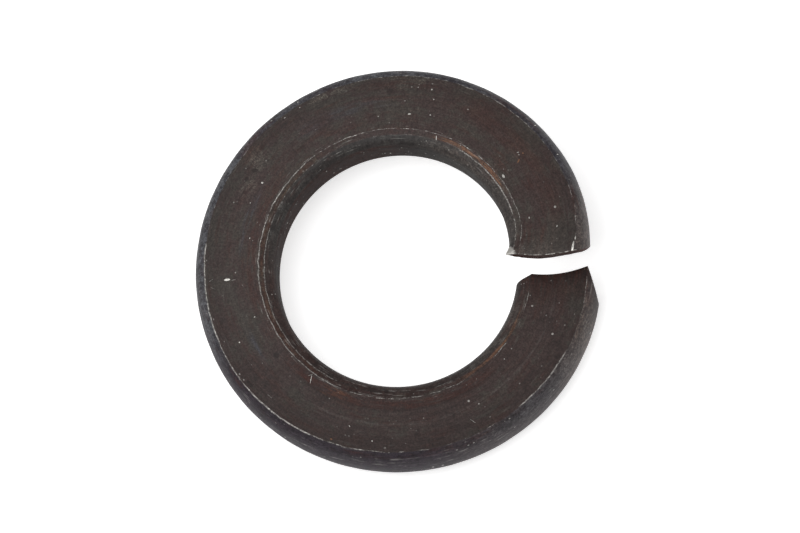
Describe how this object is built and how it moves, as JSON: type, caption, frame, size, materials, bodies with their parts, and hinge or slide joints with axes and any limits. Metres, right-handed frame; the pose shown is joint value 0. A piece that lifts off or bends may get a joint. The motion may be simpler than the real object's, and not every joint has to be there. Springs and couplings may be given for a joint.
{
  "type": "spring lock washer",
  "caption": "Split helical spring lock washer in dark oiled steel: one coiled turn of rounded wire, sheared ends, clears an M12 bolt and keeps it from working loose.",
  "frame": {"origin": "on the bore's axis, level with the lowest edge of the lower end", "axes": "+Z along the bolt, from the lower end to the upper end; +X through the gap between the ends; +Y towards the upper end's side of the gap"},
  "size_m": [0.0207, 0.0206, 0.0054],
  "materials": {
    "black_oxide_steel": "black oxide on spring steel, oiled, with brown staining and bright worn edges"
  },
  "bodies": {
    "root": {"lock_washer": "black_oxide_steel"}
  },
  "joints": []
}
